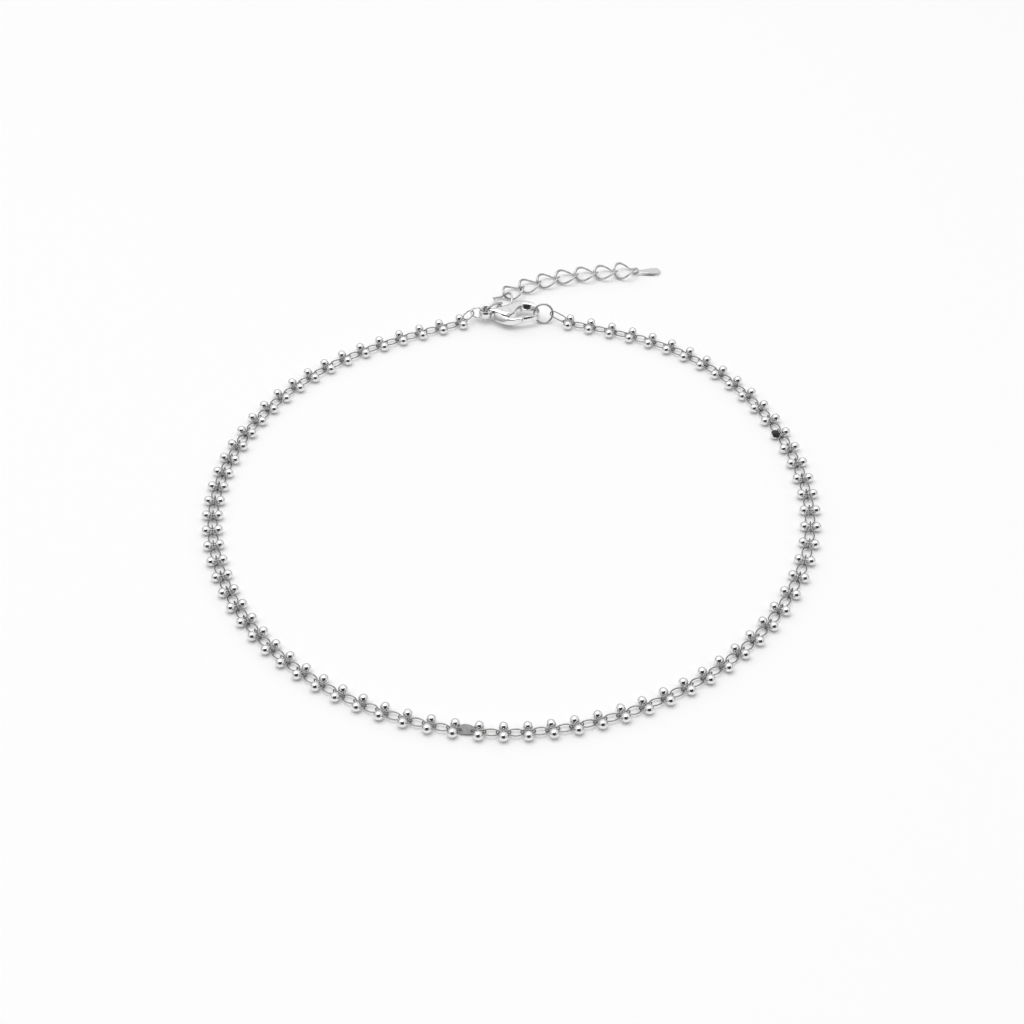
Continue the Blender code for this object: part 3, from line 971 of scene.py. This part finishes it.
# A bar extruded from section to section, with a sharp face at each end
def grown(name, piece, thicknesses):
    objectMode()
    bpy.ops.object.select_all(action="DESELECT")
    bpy.ops.mesh.primitive_circle_add(vertices=12, radius=mm, fill_type="NGON", location=(0.0, 0.0, 0.0))
    shaped = named(name)
    for point, corner in zip(shaped.data.vertices, sectionPoints(piece, 0, thicknesses[0])):
        point.co = corner
    editFaces(shaped, lambda face: True)
    for number in range(1, len(piece["sections"])):
        bpy.ops.mesh.extrude_region_move()
        shape = bmesh.from_edit_mesh(shaped.data)
        front = next(face for face in shape.faces if face.select)
        corners = sectionPoints(piece, number, thicknesses[number])
        for corner, place in zip(front.verts, corners):
            corner.co = place
        bmesh.update_edit_mesh(shaped.data)
    bpy.ops.mesh.select_all(action="SELECT")
    bpy.ops.mesh.normals_make_consistent(inside=False)
    objectMode()
    creased(shaped, clasp["crease"], lambda edge: any(len(face.verts) > 4 for face in edge.link_faces))
    return subdivided(shaped, clasp["levels"])


def rod(name, width, height, place, sides=32):
    objectMode()
    bpy.ops.object.select_all(action="DESELECT")
    bpy.ops.mesh.primitive_cylinder_add(
        vertices=sides, radius=width / 2 * mm, depth=height * mm, location=place
    )
    piece = named(name)
    return placed(piece, piece.matrix_world.copy())


def claspPoint(u, v):
    return inFrame(clasp["middle"][0] + u, clasp["middle"][1] + v, clasp["middle"][2])


def makeClaspBody():
    sections = clasp["sections"]
    thicknesses = []
    for number in range(len(sections)):
        share = min(max((number - clasp["taperFrom"]) / clasp["taperOver"], 0.0), 1.0)
        thicknesses.append(clasp["thickness"] + (clasp["hookThickness"] - clasp["thickness"]) * share)
    body = grown("lobsterClaw", clasp, thicknesses)
    placed(body, Matrix.Translation(claspPoint(0.0, 0.0)))
    wall = (clasp["eyeWidth"] - clasp["eyeHole"]) / 2
    eye = roundRing("eye", clasp["eyeWidth"], wall)
    rise = Matrix.Diagonal((1.0, 1.0, clasp["eyeHeight"] / wall, 1.0))
    placed(eye, Matrix.Translation(claspPoint(*clasp["eye"])) @ rise)
    fused(body, eye)
    pinPlace = claspPoint(*clasp["pin"])
    cutBy(body, rod("eyeHole", clasp["eyeHole"], clasp["cutHeight"], claspPoint(*clasp["eye"])))
    cutBy(body, rod("leverSlot", clasp["slotWidth"], clasp["slotHeight"], pinPlace, clasp["slotSides"]))
    cutBy(body, rod("pinHole", clasp["boreWidth"], clasp["cutHeight"], pinPlace))
    return smoothed(body, shading["built"])


# Lever, in the clasp's measures, from the thumb tab's tip to the gate's end
lever = {
    "thickness": 1.4,
    "edgeRadius": 0.2,
    "outerDomes": [(0.4, 0.9)] * 2 + [(0.35, 0.6)] + [(0.25, 0.28)] * 4,
    "innerDomes": [(0.2, 0.4)] * 7,
    "leans": [0.7, 0.7, 0.65, 0.35, 0.1, 0.0, 0.0],
    "rootWidth": 2.6,
    "rootHeight": 0.7,
    "rootSides": 40,
    "sections": [
        (-3.72, -1.2, -3.66, -1.12),
        (-2.85, -1.98, -2.62, -1.54),
        (-1.7, -2.85, -1.7, -2.24),
        (-0.6, -3.32, -0.65, -2.58),
        (0.3, -3.4, 0.3, -2.4),
        (1.1, -3.12, 1.2, -1.97),
        (1.98, -2.9, 2.55, -1.8),
    ],
}


def makeLever():
    thicknesses = [lever["thickness"]] * len(lever["sections"])
    piece = grown("thumbLever", lever, thicknesses)
    placed(piece, Matrix.Translation(claspPoint(0.0, 0.0)))
    root = rod("leverRoot", lever["rootWidth"], lever["rootHeight"], leverPin, lever["rootSides"])
    fused(piece, root)
    cutBy(piece, rod("leverBore", clasp["boreWidth"], 2 * lever["thickness"], leverPin))
    return smoothed(piece, shading["built"])


def makePin():
    pin = rod("claspRivet", clasp["pinWidth"], clasp["pinHeight"], leverPin, clasp["pinSides"])
    width = clasp["pinBevel"] * mm
    applied(pin, "BEVEL", width=width, segments=clasp["pinBevelSteps"], limit_method="ANGLE")
    return smoothed(pin, shading["rounded"])


claspBody = makeClaspBody()
finished(painted(claspBody, brightSilver), "necklace", "bright_silver", "clasp_body")
thumbLever = makeLever()
finished(painted(thumbLever, brightSilver), "lever", "bright_silver", "clasp_lever")
rivet = makePin()
finished(painted(rivet, satinSilver), "necklace", "dull_silver", "clasp_pin")
print("clasp ready")

# Extender, in mm and degrees. The route is seen from above, from the clasp's eye to the last link.
extender = {
    "route": [
        (-5.1, 59.1),
        (-2.5, 61.9),
        (-1.6, 65.6),
        (5.2, 70.2),
        (13.4, 72.9),
        (21.4, 74.0),
    ],
    "links": 8,
    "wire": 0.45,
    "width": 4.2,
    "firstWidth": 3.2,
    "twist": 90.0,
    "height": 1.05,
    "clearance": 0.12,
    "ringWidth": 4.8,
    "ringRise": 0.1,
    "routeSteps": 400,
}


# Equally spaced hooking points along the route
def extenderJoints():
    route = smoothRoute(range(len(extender["route"])), extender["route"])
    fine = extender["routeSteps"]
    spans = len(extender["route"]) - 1
    samples = np.array([route(spans * step / fine) for step in range(fine + 1)])
    lengths = np.hypot(*np.diff(samples, axis=0).T)
    travelled = np.concatenate(([0.0], np.cumsum(lengths)))
    joints = []
    for number in range(extender["links"] + 1):
        distance = travelled[-1] * number / extender["links"]
        x = np.interp(distance, travelled, samples[:, 0])
        y = np.interp(distance, travelled, samples[:, 1])
        joints.append([x, y, extender["height"]])
    joints[0][2] = clasp["middle"][2]
    joints[1][2] = (clasp["middle"][2] + extender["height"]) / 2
    return [inFrame(*joint) for joint in joints]


# An oval ring, twisted about its length
def curbLink(name, start, end, width, rollStart, rollEnd):
    reach = extender["wire"] / 2 + extender["clearance"] / 2
    length = (end - start).length / mm + 2 * reach + extender["wire"]
    link = roundRing(name, width, extender["wire"])
    stretch = (length - extender["wire"]) / (width - extender["wire"])
    placed(link, Matrix.Diagonal((stretch, 1.0, 1.0, 1.0)))
    applied(link, "SIMPLE_DEFORM", deform_method="TWIST", deform_axis="X", angle=rollEnd - rollStart)
    run = end - start
    matrix = facing(run, upward.cross(run), (start + end) / 2)
    placed(link, matrix @ Matrix.Rotation((rollStart + rollEnd) / 2, 4, "X"))
    return painted(smoothed(link, shading["twisted"]), shadedLinkSilver)


# The first link stands in the clasp's eye, so it rolls the other way
def makeExtender(joints):
    quarter = math.radians(extender["twist"])
    half = quarter / 2
    for number in range(extender["links"]):
        rollStart = half if number else quarter
        rollEnd = -half if number else quarter + half
        width = extender["width"] if number else extender["firstWidth"]
        name = "curbLink%d" % (number + 1)
        link = curbLink(name, joints[number], joints[number + 1], width, rollStart, rollEnd)
        finished(link, "necklace", "bright_silver", "extender_link_%d" % (number + 1))


# Returns the point that the tag's eye hooks in, and the direction of the run
def makeLastRing(joints):
    reach = extender["wire"] / 2 + extender["clearance"] / 2
    half = math.radians(extender["twist"]) / 2
    run = joints[-1] - joints[-2]
    run.z = 0.0
    run.normalize()
    end = joints[-1] + run * (extender["ringWidth"] - extender["wire"] - 2 * reach) * mm
    end.z += extender["ringRise"] * mm
    ring = curbLink("lastRing", joints[-1], end, extender["ringWidth"], half, -half)
    finished(ring, "necklace", "bright_silver", "extender_ring")
    return end + run * reach * mm, run


# Flat tag on the extender's end, in mm
tag = {
    "length": 4.72,
    "width": 2.3,
    "neck": 1.1,
    "thickness": 0.5,
    "eyeWidth": 1.7,
    "eyeWire": 0.4,
    "chamfer": 0.7,
    "shoulder": 1.4,
    "flare": 0.25,
    "crease": 0.8,
    "levels": 3,
    # shares of half the width at which the tip starts to round, and where it is rounded
    "tipStart": 1.5,
    "tipBend": 0.45,
    "tipWidth": 0.86,
}


def makeTag(hook, run):
    eyeRadius = (tag["eyeWidth"] - tag["eyeWire"]) / 2
    back = eyeRadius - (extender["wire"] + tag["eyeWire"]) / 2 - 2 * extender["clearance"]
    eyeMiddle = hook + run * back * mm
    start = eyeRadius - tag["eyeWire"]
    end = eyeRadius + tag["length"]
    half = tag["width"] / 2
    neck = tag["neck"] / 2
    side = [
        (start, neck),
        (start + tag["shoulder"], neck + tag["flare"]),
        (end - tag["tipStart"] * half, half),
        (end - tag["tipBend"] * half, tag["tipWidth"] * half),
    ]
    outline = [(x, -y) for x, y in side] + [(end, 0.0)] + side[::-1]
    plate = flatShape("flatTag", outline, tag["thickness"])
    for point in plate.data.vertices:
        if point.co.z > 0 and point.co.y < 0:
            share = (end * mm - point.co.x) / (tag["length"] * mm)
            point.co.y += max(share, 0.0) * tag["chamfer"] * mm
    creased(plate, tag["crease"], lambda edge: True)
    subdivided(plate, tag["levels"])
    middle = Vector((eyeMiddle.x, eyeMiddle.y, tag["thickness"] / 2 * mm))
    placed(plate, facing(run, upward.cross(run), middle))
    eye = roundRing("tagEye", tag["eyeWidth"], tag["eyeWire"])
    middle = Vector((eyeMiddle.x, eyeMiddle.y, tag["eyeWidth"] / 2 * mm))
    placed(eye, facing(run, upward, middle))
    fused(plate, eye)
    smoothed(plate, shading["built"])
    finished(painted(plate, satinSilver), "necklace", "bright_silver", "end_tag")


extenderHooks = extenderJoints()
makeExtender(extenderHooks)
tagHook, tagRun = makeLastRing(extenderHooks)
makeTag(tagHook, tagRun)
print("extender ready")

objectMode()
